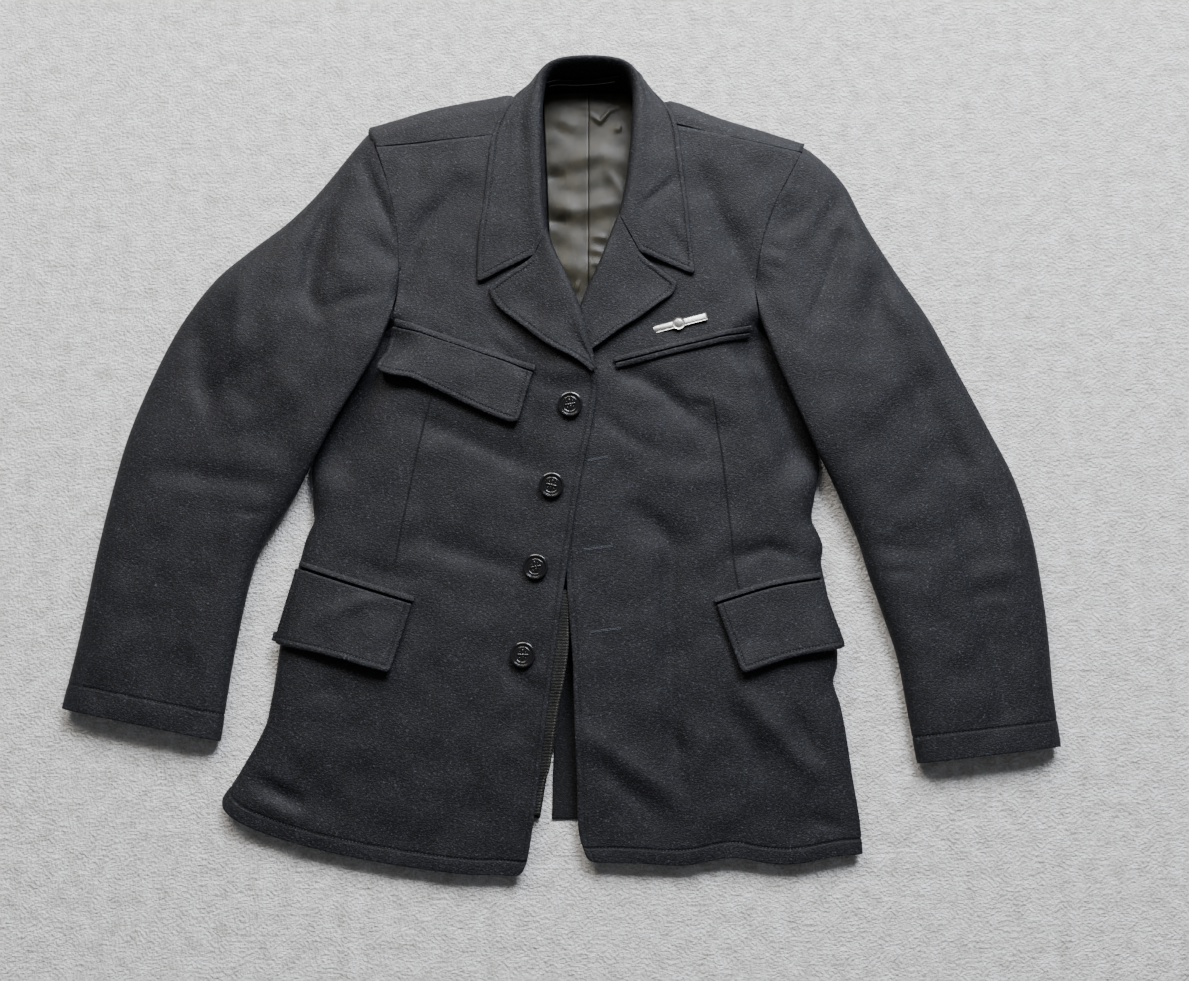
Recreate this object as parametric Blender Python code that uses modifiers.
"""Uniform jacket of thick wool, laid flat on its back with the fronts closed at the top button.

X runs across the shoulders, Y from the hem to the collar, Z up from the surface. The tables are in
millimetres. The wearer's right side is at negative X. Every cloth piece is a grid shaped by a function
and given its wall.
"""

import math

import bpy
from mathutils import Vector

MM = 0.001
CLOTH = 2.2
TURNED = 3.4
FLAP = 3.6
SATIN = 1.0
GAP = 0.3
CENTRE_X = 27.0
EDGE_SHARE = 0.45
ROLL_TOP = 28.0
ROLL_UNDER = 12.0
RIDGE_TOP = 22.0
TOP_SLEEVE_CELLS = 13
UNDER_SLEEVE_CELLS = 9

# Crown height of the fronts at each level: y, height.
BODY_HEIGHT = [
    (-400, 12.5),
    (-340, 15),
    (-260, 18),
    (-180, 20),
    (-90, 21),
    (0, 24),
    (90, 28),
    (180, 31),
    (260, 34),
    (330, 36),
    (400, 36),
]

# Outline of the body at each level: y, right side x, left side x.
# Above the armhole it runs out over the sleeves.
BODY_SIDE = [
    (-400, -338, 292),
    (-345, -332, 289),
    (-309, -313, 282),
    (-256, -285, 276),
    (-218, -278, 270),
    (-175, -273, 269),
    (-120, -261, 260),
    (-75, -254, 253),
    (-45, -247, 249),
    (0, -247, 257),
    (45, -234, 248),
    (90, -219, 233),
    (130, -214, 234),
    (200, -300, 320),
    (400, -420, 440),
]

# Shoulder ridge seen from above: x, y. It dips to the neck edge of the back between the collar ends.
RIDGE = [
    (-260, 330),
    (-198, 348),
    (-169, 358),
    (-135, 370),
    (-96, 379),
    (-65, 385),
    (-43, 391),
    (-20, 404),
    (27, 408),
    (76, 404),
    (98, 385),
    (123, 377),
    (162, 361),
    (200, 348),
    (232, 336),
    (254, 329),
    (300, 306),
]

# Seam between the front and the part of the back that comes over the shoulder: x, y.
SHOULDER_SEAM = [
    (-189, 325), (-129, 331), (-70, 338), (-38, 343), (92, 354), (121, 348), (157, 338), (241, 319),
]

# Armhole seams from the shoulder tip to the underarm: x, y.
ARMHOLE_RIGHT = [(-198, 346), (-190, 324), (-178, 290), (-168, 250), (-164, 219), (-164, 180), (-170, 146)]
ARMHOLE_LEFT = [(251, 331), (244, 314), (228, 289), (212, 257), (201, 221), (195, 181), (198, 146)]

# Fronts from hem to shoulder: outer x, outer y, inner x, inner y, sag of the row, share of side roll.
FRONT_RIGHT_ROWS = [
    (-324, -324, -36, -394, -24, 1),
    (-307, -298, -30, -376, -14, 1),
    (-285, -256, -20, -322, -5, 1),
    (-278, -218, -12, -276, 0, 1),
    (-273, -175, -5, -222, 0, 1),
    (-261, -120, 0, -160, 0, 1),
    (-254, -75, 5, -108, 0, 1),
    (-247, -45, 11, -66, 0, 1),
    (-247, 0, 20, -5, 0, 1),
    (-234, 45, 29, 42, 0, 1),
    (-219, 90, 32, 78, 0, 0.9),
    (-194, 128, 24, 104, 0, 0.4),
    (-170, 146, 14, 140, 0, 0),
    (-164, 180, 4, 170, 0, 0),
    (-164, 219, -9, 204, 0, 0),
    (-168, 250, -20, 236, 0, 0),
    (-178, 290, -27, 285, 0, 0),
    (-189, 324, -28, 343, -2, 0),
]
FRONT_LEFT_ROWS = [
    (288, -376, 27, -383, -3, 1),
    (286, -345, 18, -355, 0, 1),
    (280, -300, 16, -305, 0, 1),
    (276, -256, 14, -255, 0, 1),
    (270, -218, 12, -206, 0, 1),
    (269, -175, 10, -170, 0, 1),
    (260, -120, 6, -120, 0, 1),
    (253, -75, 3, -75, 0, 1),
    (249, -45, 1, -45, 0, 1),
    (257, 0, -1, 0, 0, 1),
    (248, 45, 0, 45, 0, 1),
    (233, 90, 5, 86, 0, 0.9),
    (214, 128, 13, 112, 0, 0.4),
    (198, 146, 21, 140, 0, 0),
    (195, 181, 31, 170, 0, 0),
    (201, 221, 48, 204, 0, 0),
    (212, 257, 66, 242, 0, 0),
    (228, 289, 78, 288, 0, 0),
    (243, 317, 80, 354, 1.5, 0),
]

# Backs from hem to neck: centre x, centre y, outer x, outer y.
BACK_RIGHT_ROWS = [
    (-19, -343, -292, -316),
    (-12, -300, -280, -282),
    (-5, -272, -272, -250),
    (0, -233, -265, -218),
    (9, -173, -260, -175),
    (26.8, -136, -250, -130),
    (26.8, -90, -242, -80),
    (26.8, -20, -235, -20),
    (26.8, 50, -226, 50),
    (26.8, 110, -189, 108),
    (26.8, 160, -166, 148),
    (26.8, 210, -163, 180),
    (26.8, 260, -163, 219),
    (26.8, 320, -167, 250),
    (26.8, 360, -177, 290),
    (26.8, 396, -188, 327),
]
BACK_LEFT_ROWS = [
    (-8, -344, 273, -340),
    (-7, -300, 268, -300),
    (-6, -272, 263, -256),
    (-5, -233, 257, -218),
    (-3, -150, 256, -175),
    (27.2, -134, 248, -130),
    (27.2, -90, 241, -80),
    (27.2, -20, 244, -20),
    (27.2, 50, 241, 50),
    (27.2, 110, 207, 108),
    (27.2, 160, 193, 148),
    (27.2, 210, 194, 181),
    (27.2, 260, 200, 221),
    (27.2, 320, 211, 257),
    (27.2, 360, 227, 289),
    (27.2, 396, 240, 313),
]

# Sleeves from armhole to cuff: outer x, outer y, inner x, inner y, bow, height, lift,
# depth of the hind seam.
SLEEVE_RIGHT_ROWS = [
    (-202, 351, -172, 144, 18, 34, 23, 0),
    (-240, 292, -184, 110, 14, 36.5, 27.5, 0),
    (-277, 251, -203, 76, 10, 36, 26, 0),
    (-319, 217, -223, 42, 6, 35, 23, 0),
    (-351, 188, -239, 11, 3, 34, 19, 0),
    (-384, 142, -253, -15, 0, 30, 10, 0),
    (-410, 87, -266, -38, 0, 28, 2, 0),
    (-431, 29, -281, -62, 0, 27, 0, 0),
    (-444, -26, -292, -80, 0, 26, 0, 0),
    (-455, -84, -302, -106, 0, 25, 0, 5),
    (-463, -137, -311, -150, 0, 24, 0, 11),
    (-472, -190, -320, -208, 0, 23, 0, 17),
    (-482, -239, -327, -270, 0, 21, 0, 19),
]
SLEEVE_LEFT_ROWS = [
    (256, 335, 199, 145, -19, 33, 21, 0),
    (285, 297, 211, 110, -14, 35, 24.5, 0),
    (310, 245, 225, 76, -10, 35, 24, 0),
    (338, 197, 239, 42, -5, 35, 23, 0),
    (370, 147, 252, 12, -2, 34, 19, 0),
    (395, 98, 266, -15, 0, 30, 10, 0),
    (423, 41, 280, -46, 0, 28, 2, 0),
    (449, -15, 292, -75, 0, 27, 0, 0),
    (464, -71, 302, -110, 0, 26, 0, 0),
    (472, -134, 315, -150, 0, 25, 0, 0),
    (475, -175, 327, -190, 0, 24, 0, 0),
    (477, -225, 335, -240, 0, 23, 0, 0),
    (482, -275, 343, -291, 0, 21, 0, 0),
]

# Collar round the neck: fold x, fold y, bend x, bend y, outer x, outer y, outer z where it hangs free, share that lies
# on the shoulders, height of the ridge, foot x, foot y, foot z.
COLLAR_ROWS = [
    (-15, 236, -28, 209, -85, 180, 36, 1, 40, -18, 236, 20),
    (-18, 264, -39, 244, -84, 222, 36, 1, 42, -21, 264, 18),
    (-19, 295, -42, 280, -79, 262, 36, 1, 43, -22, 295, 16),
    (-20, 326, -43, 314, -75, 303, 36, 1, 44, -23, 326, 15),
    (-20, 356, -41, 352, -69, 341, 36, 1, 45, -23, 354, 14),
    (-19, 382, -36, 384, -50, 377, 37, 0.8, 45, -21, 378, 12),
    (-16, 397, -27, 403, -31, 402, 20, 0, 45, -16, 392, 9),
    (-7, 406, -13, 416, -14, 419, 6, 0, 45, -5, 397, 8),
    (8, 410, 5, 422, 5, 426, 4, 0, 45, 10, 399, 7),
    (27, 411, 27, 424, 27, 428, 4, 0, 45, 27, 400, 7),
    (46, 410, 49, 422, 49, 426, 4, 0, 45, 44, 399, 7),
    (61, 406, 67, 416, 68, 419, 6, 0, 45, 59, 397, 8),
    (69, 397, 81, 403, 85, 402, 20, 0, 45, 69, 392, 9),
    (72, 382, 89, 382, 104, 372, 37, 0.8, 45, 74, 378, 12),
    (71, 352, 93, 352, 117, 345, 36, 1, 45, 74, 350, 14),
    (69, 322, 90, 316, 122, 305, 36, 1, 44, 72, 322, 15),
    (66, 296, 88, 286, 127, 262, 36, 1, 43, 69, 296, 16),
    (62, 272, 84, 254, 130, 222, 36, 1, 42, 65, 272, 18),
    (57, 252, 79, 212, 134, 188, 36, 1, 40, 60, 252, 20),
]

# Lapels from the gorge to the break: fold x, fold y, bend x, bend y, outer x, outer y, rise of the fold.
LAPEL_RIGHT_ROWS = [
    (-13.6, 232, -28.5, 204, -74, 175, 5),
    (-7, 214, -22, 190, -66, 160, 5),
    (4, 190, -12, 172, -50, 146, 5),
    (15, 164, 0, 148, -30, 130, 4),
    (23, 138, 12, 127, -8, 113, 3),
    (29, 112, 23, 107, 12, 101, 2),
    (33, 92, 31, 91, 28, 89, 1),
]
LAPEL_LEFT_ROWS = [
    (55.6, 248, 79.5, 206.5, 116, 180, 5),
    (47, 226, 68, 192, 111, 170, 5),
    (37, 200, 57, 172, 97, 160, 5),
    (26, 176, 44, 155, 80, 147, 4),
    (17, 152, 32, 138, 60, 134, 3),
    (9, 124, 20, 120, 38, 119, 2),
    (5, 100, 9, 100, 14, 102, 1),
]

# Largest folds of the fronts: start x, start y, end x, end y, half width, height (negative is a trough).
FRONT_FOLDS = [
    (-134, 40, -27, -4, 16, -2.2),
    (-95, 276, -150, 180, 18, -3.0),
    (-127, -78, -44, -100, 15, -1.6),
    (-262, -290, -225, -330, 13, -6.5),
    (-290, -300, -250, -345, 12, 2.5),
    (150, 272, 205, 160, 18, -3.2),
    (75, 87, 150, 36, 15, -3.0),
    (76, -48, 116, -80, 15, -2.2),
    (112, -84, 112, -300, 15, -2.6),
    (178, -86, 236, -88, 12, -2.0),
    (170, -215, 244, -295, 12, 2.6),
    (228, -255, 252, -290, 14, -3.2),
    (30, -268, 112, -324, 14, 2.2),
    (52, -305, 84, -332, 12, -2.4),
]

# Largest folds of the sleeves, in the same columns.
SLEEVE_FOLDS = [
    (-232, 278, -256, 170, 15, -4.0),
    (-318, 222, -322, 108, 15, 2.2),
    (-365, 150, -350, 62, 20, -4.0),
    (-300, 106, -318, 78, 18, -3.5),
    (-262, 195, -318, 106, 14, 2.2),
    (-250, 60, -282, 20, 18, -3.0),
    (-300, -20, -390, -10, 12, -3.0),
    (-340, -60, -390, -200, 24, -1.8),
    (282, 268, 250, 165, 15, -4.0),
    (320, 195, 306, 125, 17, -4.0),
    (338, 118, 385, 10, 15, -3.4),
    (385, 10, 405, -60, 15, -3.0),
    (405, -60, 428, -230, 14, -3.0),
    (300, -84, 342, -84, 11, -3.0),
    (412, -112, 452, -104, 12, 2.2),
    (285, 240, 325, 228, 10, 1.6),
]

# Flaps: corner names, then x and y of the top inner, top outer, bottom outer and bottom inner corners.
BREAST_FLAP = dict(top=[(-27, 90), (-97, 115), (-168, 139)], bottom=[(-42, 40), (-108, 65), (-179, 89)])
HIP_FLAP_RIGHT = dict(
    top=[(-144, -139), (-199, -122), (-253, -105)],
    bottom=[(-161, -204), (-217, -189), (-271, -176)],
)
HIP_FLAP_LEFT = dict(
    top=[(151, -140), (203, -124), (254, -115)],
    bottom=[(174, -206), (222, -191), (270, -181)],
)

BUTTONS = [(9, 57), (-9, -23), (-24, -103), (-36, -188)]
# Button outline from the axis outwards and back under it: radius, height.
BUTTON_SECTION = [
    (0, 3.0),
    (4.5, 3.1),
    (8.6, 3.6),
    (9.4, 4.6),
    (10.6, 5.2),
    (11.8, 4.6),
    (12.25, 3.2),
    (11.4, 1.4),
    (8.0, 0.4),
    (0, 0),
]
BADGE = dict(x=117, y=140, long=58, wide=7, thick=1.8, turn=14, disc=6.2)


def clamp(value, low=0.0, high=1.0):
    return min(max(value, low), high)


def ease(share):
    share = clamp(share)
    return share * share * (3 - 2 * share)


def mix(first, second, share):
    return first + (second - first) * share


def hermite(first, second, slope_first, slope_second, span, share):
    square, cube = share * share, share * share * share
    return (
        (2 * cube - 3 * square + 1) * first
        + (cube - 2 * square + share) * span * slope_first
        + (3 * square - 2 * cube) * second
        + (cube - square) * span * slope_second
    )


def through(knots, rows, place):
    """The row of values at this place on the knots, on a smooth curve through every row."""
    last = len(knots) - 1
    place = clamp(place, knots[0], knots[last])
    index = 0
    while index < last - 1 and place > knots[index + 1]:
        index += 1
    span = knots[index + 1] - knots[index]
    share = (place - knots[index]) / span
    before, after = max(index - 1, 0), min(index + 2, last)
    result = []
    for column in range(len(rows[0])):
        first, second = rows[index][column], rows[index + 1][column]
        slope_first = (second - rows[before][column]) / (knots[index + 1] - knots[before])
        slope_second = (rows[after][column] - first) / (knots[after] - knots[index])
        result.append(hermite(first, second, slope_first, slope_second, span, share))
    return result


def by_key(table, key):
    """Values beside the key in a table whose first column rises."""
    return through([row[0] for row in table], [row[1:] for row in table], key)


def knots_of(rows, columns):
    """Knots from 0 to 1, spaced by how far the named columns move between rows."""
    knots = [0.0]
    for first, second in zip(rows, rows[1:]):
        knots.append(knots[-1] + math.dist([first[c] for c in columns], [second[c] for c in columns]))
    return [knot / knots[-1] for knot in knots]


def quarter(share):
    """Height share of a round edge at this share of its width."""
    return math.sqrt(max(1 - (1 - clamp(share)) ** 2, 0))


def fold_height(table, x, y):
    """Sum of the soft folds of a table at this place."""
    total = 0.0
    for x0, y0, x1, y1, half, height in table:
        length = math.hypot(x1 - x0, y1 - y0)
        along = ((x - x0) * (x1 - x0) + (y - y0) * (y1 - y0)) / length
        across = ((y - y0) * (x1 - x0) - (x - x0) * (y1 - y0)) / length
        past = max(-along, along - length, 0.0)
        middle = 0.75 + 0.25 * math.sin(math.pi * clamp(along / length))
        total += height * middle * math.exp(-((across / half) ** 2) - (past / (1.4 * half)) ** 2)
    return total


def front_height(x, y):
    """Outer surface of the fronts and of the shoulder part of the back."""
    crown = by_key(BODY_HEIGHT, y)[0]
    right, left = by_key(BODY_SIDE, y)
    ridge = by_key(RIDGE, x)[0]
    side = min(x - right, left - x)
    reach = 58 + 16 * ease((y - 85) / 30)
    under_arm = ease((y + 30) / 50) * ease((165 - y) / 40)
    press = 1 - (0.5 - 0.1 * ease((y - 85) / 30)) * ease((reach - side) / 42) * under_arm
    crown *= press
    edge = EDGE_SHARE * crown
    share = quarter(side / ROLL_TOP) * quarter((ridge - y) / RIDGE_TOP)
    inside = ease(side / 50) * ease((ridge - y) / 50)
    return edge + (crown - edge) * share + fold_height(FRONT_FOLDS, x, y) * inside


def lap_lift(x, y):
    """Rise of the right front where it lies on the left one."""
    lapel = 4.4 * ease((x + 34) / 34) * ease((y - 72) / 22) * ease((200 - y) / 40)
    return (CLOTH + GAP + 0.5) * ease((x + 45) / 40) + lapel


def lifted(height, x, y, out):
    """The point at distance out from the surface of a height function, along its normal."""
    step = 1.5
    slope_x = clamp((height(x + step, y) - height(x - step, y)) / (2 * step), -1.2, 1.2)
    slope_y = clamp((height(x, y + step) - height(x, y - step)) / (2 * step), -1.2, 1.2)
    length = math.sqrt(1 + slope_x**2 + slope_y**2)
    return x - slope_x * out / length, y - slope_y * out / length, height(x, y) + out / length


def right_height(x, y):
    return front_height(x, y) + lap_lift(x, y)


def material(name, colour, roughness, metallic=0.0):
    made = bpy.data.materials.new(name)
    made.use_nodes = True
    shader = made.node_tree.nodes["Principled BSDF"]
    shader.inputs["Base Color"].default_value = (*colour, 1)
    shader.inputs["Roughness"].default_value = roughness
    shader.inputs["Metallic"].default_value = metallic
    made.diffuse_color = (*colour, 1)
    return made


def finish(obj, name, look):
    obj.name = name
    obj.data.name = name
    obj.data.materials.clear()
    obj.data.materials.append(look)
    for holder in list(obj.users_collection):
        holder.objects.unlink(obj)
    jacket.objects.link(obj)
    return obj


def narrow_ends(share, cells):
    """Spread of a row of cells, the first and last narrow, so that the wall stands square at a seam."""
    step = share * cells
    narrow = 0.15
    whole = cells - 2 + 2 * narrow
    if step <= 1:
        return step * narrow / whole
    if step >= cells - 1:
        return 1 - (cells - step) * narrow / whole
    return (step - 1 + narrow) / whole


def sheet(name, columns, rows, place, wall, look, up=True):
    """A cloth piece: a grid from 0 to 1 both ways, put by place, with its wall inside that surface."""
    bpy.ops.mesh.primitive_grid_add(x_subdivisions=columns, y_subdivisions=rows, size=2)
    obj = bpy.context.object
    for vertex in obj.data.vertices:
        spot = place((vertex.co.x + 1) / 2, (vertex.co.y + 1) / 2)
        vertex.co = Vector(spot) * MM
    obj.data.update()
    facing = sum(face.normal.z * face.area for face in obj.data.polygons)
    if (facing > 0) != up:
        obj.data.flip_normals()
    solid = obj.modifiers.new("Wall", "SOLIDIFY")
    solid.thickness = wall * MM
    solid.offset = -1
    solid.use_even_offset = True
    return finish(obj, name, look)


def front_piece(rows, height):
    """Place function of a front: side roll first, then the top to the front edge."""
    knots = knots_of(rows, (0, 1, 2, 3))
    roll_columns = 0.26

    def place(u, v):
        outer_x, outer_y, inner_x, inner_y, sag, roll = through(knots, rows, v)
        long = math.hypot(inner_x - outer_x, inner_y - outer_y)

        def spot(inward):
            share = inward / long
            dip = sag * math.sin(math.pi * clamp(share) ** 0.6) ** 0.6
            return mix(outer_x, inner_x, share), mix(outer_y, inner_y, share) + dip

        if u >= roll_columns:
            inward = mix(ROLL_TOP, long, (u - roll_columns) / (1 - roll_columns))
            x, y = spot(inward)
            return x, y, height(x, y)
        angle = math.pi * (u / roll_columns - 0.5)
        flat_x, flat_y = spot(ROLL_TOP * u / roll_columns)
        flat = (flat_x, flat_y, height(flat_x, flat_y))
        if angle >= 0:
            x, y = spot(ROLL_TOP * (1 - math.cos(angle)))
            rolled = (x, y, height(x, y))
        else:
            x, y = spot(ROLL_UNDER * (1 - math.cos(angle)))
            edge_x, edge_y = spot(0)
            rolled = (x, y, height(edge_x, edge_y) * (1 + math.sin(angle)))
        return tuple(mix(a, b, roll) for a, b in zip(flat, rolled))

    return place


def back_piece(rows, sign):
    """Place function of a back: flat on the surface, then up over the shoulder ridge to the seam."""
    knots = knots_of(rows, (0, 1, 2, 3))
    flat_rows = 0.72

    def place(u, v):
        flat_v = clamp(v / flat_rows)
        centre_x, centre_y, outer_x, outer_y = through(knots, rows, flat_v)
        x = mix(centre_x, outer_x, u)
        y = mix(centre_y, outer_y, u)
        top = by_key(RIDGE, x)[0] - ROLL_UNDER
        y += (top - mix(rows[-1][1], rows[-1][3], u)) * ease((flat_v - 0.7) / 0.3)
        z = 0.0
        if sign > 0:
            z = (CLOTH + GAP + 0.2) * ease((x + 40) / 24) * ease((-68 - y) / 20)
        reach = by_key(BODY_SIDE, y)[0 if sign > 0 else 1]
        if y < 100 and abs(x) > abs(reach) - ROLL_UNDER - 4.2:
            x = math.copysign(abs(reach) - ROLL_UNDER - 4.2, x)
        if v <= flat_rows:
            return x, y, z
        over = (v - flat_rows) / (1 - flat_rows)
        ridge = by_key(RIDGE, x)[0]
        seam = by_key(SHOULDER_SEAM, x)[0] + GAP + 1.0
        wrap = ease((-36 - x) / 20) if sign > 0 else ease((x - 90) / 20)
        edge = EDGE_SHARE * by_key(BODY_HEIGHT, ridge)[0]
        if over < 0.4:
            angle = math.pi / 2 * (over / 0.4 - 1)
            over_y = ridge - ROLL_UNDER * (1 - math.cos(angle))
            over_z = edge * (1 + math.sin(angle))
        else:
            turn = 1 - math.cos(math.pi / 2 * (over - 0.4) / 0.6)
            over_y = mix(ridge, seam, turn)
            over_z = front_height(x, over_y)
        return x, mix(top + 5 * over, over_y, wrap), mix(0.0, over_z, wrap)

    return place


def sleeve_section(rows, armhole, sign):
    """Point of a sleeve: around is 0 at the outer edge, 1 at the inner edge and 2 at the outer edge again,
    from below."""
    knots = knots_of(rows, (0, 1, 2, 3))
    ring_knots = knots_of(armhole, (0, 1))

    def place(around, v):
        outer_x, outer_y, inner_x, inner_y, bow, high, lift, _ = through(knots, rows, v)
        wide = math.hypot(inner_x - outer_x, inner_y - outer_y)
        across = (1 - math.cos(math.pi * around)) / 2
        x = mix(outer_x, inner_x, across)
        y = mix(outer_y, inner_y, across)
        bulge = bow * math.sin(math.pi * across**1.2)
        x += bulge * (outer_y - inner_y) / wide * sign
        near = 1 - ease(v / 0.1)
        ring_x, ring_y = through(ring_knots, armhole, across)
        x = mix(x, ring_x - 2.0 * sign, near)
        y = mix(y, ring_y, near)
        from_outer, from_inner = across * wide, (1 - across) * wide
        floor = lift * (1 - ease(from_inner / 52))
        edge = mix(floor, high, EDGE_SHARE)
        if around % 2 <= 1:
            top = edge + (high - edge) * quarter(from_outer / 34) * quarter(from_inner / 30)
            inside = ease(from_outer / 34) * ease(from_inner / 34)
            inside *= ease(v / 0.04) * ease((1.02 - v) / 0.06)
            top += fold_height(SLEEVE_FOLDS, x, y) * inside
            return x, y, mix(top, front_height(x, y), near * ease(from_inner / 30))
        under = floor + (edge - floor) * (1 - quarter(from_outer / 13) * quarter(from_inner / 13))
        return x, y, under

    return place, knots


def sleeve_piece(rows, armhole, sign, upper):
    section, knots = sleeve_section(rows, armhole, sign)
    inner_seam = 1.17

    def place(u, v):
        depth = through(knots, rows, v)[7]
        outer_x, outer_y, inner_x, inner_y = through(knots, rows, v)[:4]
        wide = math.hypot(inner_x - outer_x, inner_y - outer_y)
        hind = math.acos(1 - 2 * max(depth, 0) / wide) / math.pi
        small = 0.007
        if upper:
            around = mix(hind + small, inner_seam - small, narrow_ends(u, TOP_SLEEVE_CELLS))
        else:
            around = mix(inner_seam + small, 2 + hind - small, narrow_ends(u, UNDER_SLEEVE_CELLS))
        return section(around, v)

    return place


def collar_point(u, v):
    """U runs from the outer edge over the fold to the foot of the stand, V round the neck from right to left."""
    row = through(COLLAR_KNOTS, COLLAR_ROWS, v)
    fold_x, fold_y, bend_x, bend_y, outer_x, outer_y, outer_z, lie, ridge, foot_x, foot_y, foot_z = row
    out = GAP + TURNED
    on_outer = lifted(front_height, outer_x, outer_y, out)
    on_bend = lifted(front_height, bend_x, bend_y, out + 1.5)
    outer = Vector((outer_x, outer_y, mix(outer_z, on_outer[2], lie)))
    bend_free = mix(outer_z, ridge, 0.55)
    bend = Vector((bend_x, bend_y, mix(bend_free, on_bend[2], lie)))
    away = Vector((bend_x - fold_x, bend_y - fold_y, 0)).normalized()
    fold = Vector((fold_x, fold_y, ridge - 5))
    crest = fold + away * 7 + Vector((0, 0, 5))
    foot = Vector((foot_x, foot_y, foot_z))
    half_way = (outer + bend) / 2
    half_way.z = mix(half_way.z, lifted(front_height, half_way.x, half_way.y, out)[2], lie)
    stops = (outer, half_way, bend, crest, fold, fold.lerp(foot, 0.5), foot)
    path = [tuple(stop) for stop in stops]
    return through((0, 0.22, 0.44, 0.66, 0.78, 0.88, 1), path, u)


def lapel_piece(rows, height):
    knots = knots_of(rows, (0, 1))

    def place(u, v):
        fold_x, fold_y, bend_x, bend_y, outer_x, outer_y, rise = through(knots, rows, v)
        out = GAP + CLOTH
        outer = Vector(lifted(height, outer_x, outer_y, out + 0.5))
        middle_x, middle_y = mix(outer_x, bend_x, 0.5), mix(outer_y, bend_y, 0.5)
        middle = Vector(lifted(height, middle_x, middle_y, out + 0.5))
        bend = Vector(lifted(height, bend_x, bend_y, out + 0.3 + 0.3 * rise))
        fold = Vector((fold_x, fold_y, height(fold_x, fold_y) + out + 0.5 * rise - 1.5))
        away = Vector((bend_x - fold_x, bend_y - fold_y, 0)).normalized()
        crest = fold + away * min(6, (bend - fold).length * 0.5) + Vector((0, 0, 1.5 + 0.2 * rise))
        foot = fold - away * 0.4 - Vector((0, 0, 0.8 + 0.9 * rise))
        path = [tuple(spot) for spot in (outer, middle, bend, crest, fold, foot)]
        return through((0, 0.25, 0.5, 0.74, 0.88, 1), path, u)

    return place


def flap_piece(corners, height, out, lift):
    """A flap between its top and bottom lines. Lift gives its rise from the panel at each place."""
    top, bottom = corners["top"], corners["bottom"]

    def place(u, v):
        top_x, top_y = through((0, 0.5, 1), top, u)
        low_x, low_y = through((0, 0.5, 1), bottom, u)
        x, y = mix(low_x, top_x, v), mix(low_y, top_y, v)
        return lifted(height, x, y, out + lift(u, v))

    return place


def strip_piece(line, wide, height, out):
    """A narrow strip on a panel along a line of points."""
    knots = knots_of(line, (0, 1))

    def place(u, v):
        x, y = through(knots, line, u)
        return lifted(height, x, y + wide * (v - 0.5), out)

    return place


def lining_point(side):
    def place(u, v):
        x = CENTRE_X + side * mix(0.2, 47.5 - 12 * (1 - v), u)
        y = mix(132, 397, v) - 3 * u * u
        wave = 0.9 * math.sin(v * 17 + u * 2) + 0.7 * math.sin(v * 31 - u * 5 + side)
        return x, y, CLOTH + GAP + SATIN + 2.1 + wave * ease(v * 6) * ease((1 - v) * 6) * ease(u * 5)

    return place


def loop_point(u, v):
    """Hanging loop along the foot of the collar stand, just off it."""
    along = mix(0.412, 0.588, u)
    sag = math.sin(math.pi * u) ** 0.7
    x, y, z = collar_point(mix(0.86, 0.925, clamp(v * 0.7 + 0.42 * sag - 0.1)), along)
    return x, y - 3.0 - 1.5 * sag, z + 1.0 + 0.5 * sag


def button(name, x, y):
    outline = [Vector((radius * MM, 0, level * MM)) for radius, level in BUTTON_SECTION]
    mesh = bpy.data.meshes.new(name)
    edges = [(index, index + 1) for index in range(len(outline) - 1)]
    mesh.from_pydata(outline, edges, [])
    obj = bpy.data.objects.new(name, mesh)
    bpy.context.scene.collection.objects.link(obj)
    turn = obj.modifiers.new("Turned", "SCREW")
    turn.axis = "Z"
    turn.steps = turn.render_steps = 20
    turn.use_merge_vertices = True
    turn.merge_threshold = 0.00001
    foot = Vector(lifted(right_height, x, y, 0.5)) * MM
    above = Vector(lifted(right_height, x, y, 5)) * MM
    obj.location = foot
    obj.rotation_euler = (above - foot).to_track_quat("Z", "Y").to_euler()
    return finish(obj, name, BUTTON_BLACK)


def badge():
    sizes = BADGE
    foot = Vector(lifted(front_height, sizes["x"], sizes["y"], 0.9)) * MM
    above = Vector(lifted(front_height, sizes["x"], sizes["y"], 5)) * MM
    turned = (above - foot).to_track_quat("Z", "Y").to_euler()
    depth = (sizes["thick"] + 1.0) * MM
    bpy.ops.mesh.primitive_cylinder_add(vertices=24, radius=sizes["disc"] * MM, depth=depth)
    disc = bpy.context.object
    disc.name = "badge_cutter"
    disc.location.z = 0.5 * (sizes["thick"] + 1.0) * MM
    bpy.ops.object.transform_apply(location=True)
    bpy.ops.mesh.primitive_cube_add(size=1)
    bar = bpy.context.object
    for vertex in bar.data.vertices:
        vertex.co.x *= sizes["long"] * MM
        vertex.co.y *= sizes["wide"] * MM
        vertex.co.z = (vertex.co.z + 0.5) * sizes["thick"] * MM
    bevel = bar.modifiers.new("Edges", "BEVEL")
    bevel.width = 0.5 * MM
    bevel.segments = 1
    union = bar.modifiers.new("Disc", "BOOLEAN")
    union.operation = "UNION"
    union.object = disc
    bpy.ops.object.select_all(action="DESELECT")
    bar.select_set(True)
    bpy.context.view_layer.objects.active = bar
    bpy.ops.object.convert(target="MESH")
    bpy.data.objects.remove(disc)
    bar.rotation_euler = turned
    bar.rotation_euler.z += math.radians(sizes["turn"])
    bar.location = foot
    return finish(bar, "badge_bar", BADGE_SILVER)


for old in list(bpy.data.objects):
    bpy.data.objects.remove(old)
jacket = bpy.data.collections.new("railway_uniform_jacket")
bpy.context.scene.collection.children.link(jacket)

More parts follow.
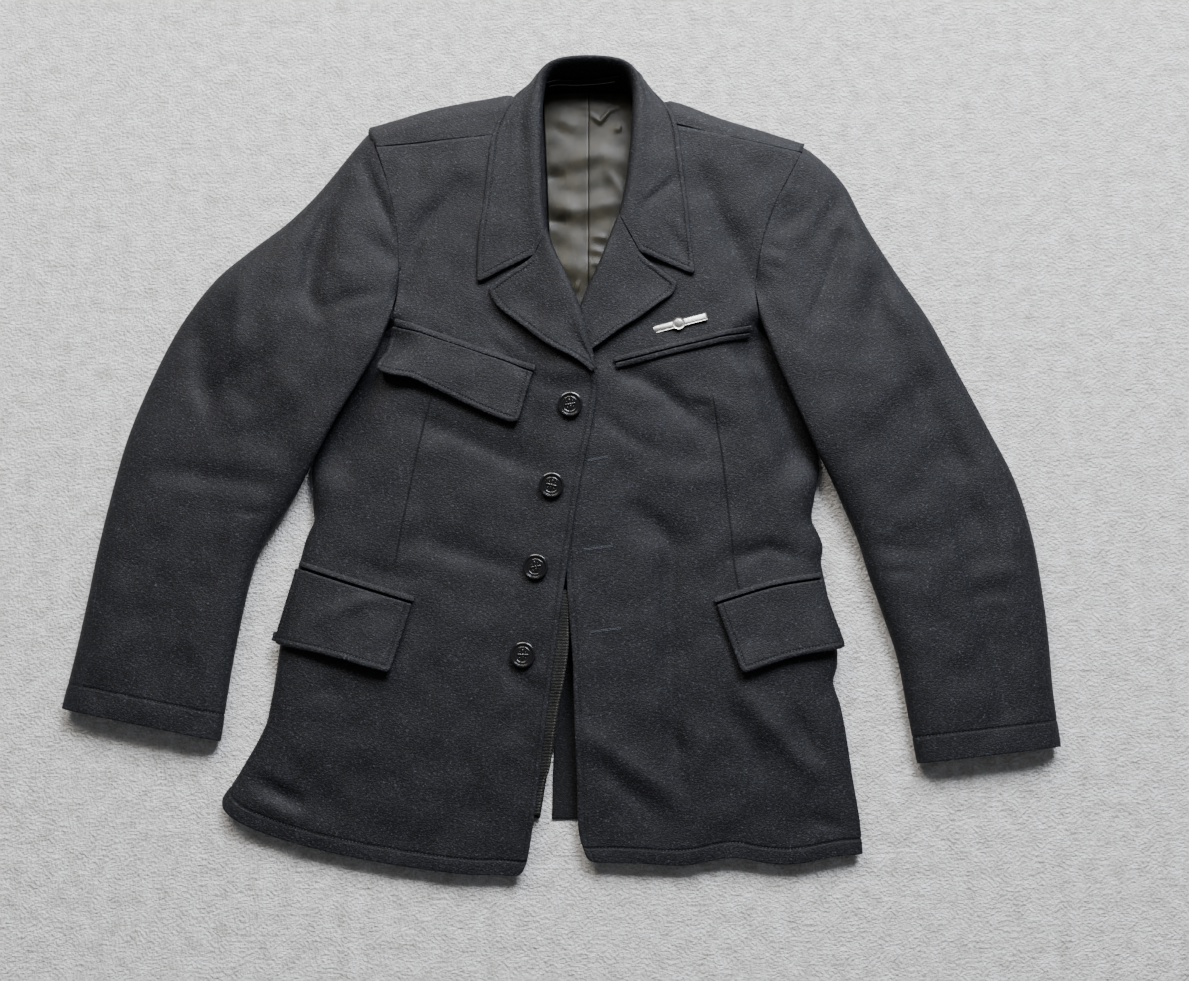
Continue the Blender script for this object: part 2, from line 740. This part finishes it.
WOOL = material("Navy wool melton", (0.021, 0.023, 0.030), 0.95)
SATIN_LOOK = material("Olive grey satin lining", (0.16, 0.155, 0.125), 0.35)
BUTTON_BLACK = material("Black glossy button plastic", (0.012, 0.012, 0.013), 0.18)
BADGE_SILVER = material("Silvered badge metal", (0.75, 0.75, 0.73), 0.35, 1.0)
COLLAR_KNOTS = knots_of(COLLAR_ROWS, (0, 1))

sheet("back_right", 12, 24, back_piece(BACK_RIGHT_ROWS, 1), CLOTH, WOOL, up=False)
sheet("back_left", 12, 24, back_piece(BACK_LEFT_ROWS, -1), CLOTH, WOOL, up=False)
sheet("front_right", 20, 26, front_piece(FRONT_RIGHT_ROWS, right_height), CLOTH, WOOL)
sheet("front_left", 20, 26, front_piece(FRONT_LEFT_ROWS, front_height), CLOTH, WOOL)

for side, rows, armhole, sign in (
    ("right", SLEEVE_RIGHT_ROWS, ARMHOLE_RIGHT, 1),
    ("left", SLEEVE_LEFT_ROWS, ARMHOLE_LEFT, -1),
):
    sheet(f"top_sleeve_{side}", TOP_SLEEVE_CELLS, 24, sleeve_piece(rows, armhole, sign, True), CLOTH, WOOL)
    under_place = sleeve_piece(rows, armhole, sign, False)
    sheet(f"under_sleeve_{side}", UNDER_SLEEVE_CELLS, 24, under_place, CLOTH, WOOL, up=False)

sheet("collar", 12, 36, collar_point, TURNED - 0.6, WOOL)
sheet("lapel_right", 9, 9, lapel_piece(LAPEL_RIGHT_ROWS, right_height), CLOTH, WOOL)
sheet("lapel_left", 9, 9, lapel_piece(LAPEL_LEFT_ROWS, front_height), CLOTH, WOOL)
sheet("lining_right", 5, 12, lining_point(-1), SATIN, SATIN_LOOK)
sheet("lining_left", 5, 12, lining_point(1), SATIN, SATIN_LOOK)
sheet("hanging_loop", 12, 1, loop_point, 0.9, SATIN_LOOK)


def breast_lift(u, v):
    """Height of the breast flap over the front: it curls up towards the armhole."""
    return 1.3 + (1 - v) * (0.8 + 4.5 * ease((u - 0.55) / 0.45))


def hip_lift(u, v):
    """Height of a hip flap over the front."""
    return 0.6 + 0.9 * (1 - v)


for name, rows, height, lift in (
    ("breast_flap", BREAST_FLAP, right_height, breast_lift),
    ("hip_flap_right", HIP_FLAP_RIGHT, right_height, hip_lift),
    ("hip_flap_left", HIP_FLAP_LEFT, front_height, hip_lift),
):
    sheet(name, 9, 4, flap_piece(rows, height, GAP + FLAP, lift), FLAP - 0.2, WOOL)

for name, line, height, off in (
    ("breast_flap_welt", [(-25, 95.5), (-96, 119.5), (-166, 144)], right_height, 0.3),
    ("hip_welt_right", [(-142, -132.5), (-197, -116), (-250, -99)], right_height, 0.5),
    ("hip_welt_left", [(149, -134), (203, -117.5), (250, -109)], front_height, 0.5),
    ("breast_welt_upper", [(52, 103), (125, 121), (190, 137)], front_height, 0.3),
    ("breast_welt_lower", [(54, 96.5), (126, 114.5), (188, 129.5)], front_height, 1.2),
):
    sheet(name, 10, 1, strip_piece(line, 5.0, height, GAP + 1.5 + off), 1.3, WOOL)

for number, (x, y) in enumerate(BUTTONS, 1):
    button(f"button_{number}", x, y)
badge()

# The frame's origin is the middle of the base of the whole jacket.
bpy.context.view_layer.update()
graph = bpy.context.evaluated_depsgraph_get()
corners = []
for obj in jacket.objects:
    whole = obj.evaluated_get(graph)
    corners += [whole.matrix_world @ Vector(corner) for corner in whole.bound_box]
shift_x = (min(c.x for c in corners) + max(c.x for c in corners)) / 2
shift_y = (min(c.y for c in corners) + max(c.y for c in corners)) / 2
for obj in jacket.objects:
    obj.location.x -= shift_x
    obj.location.y -= shift_y
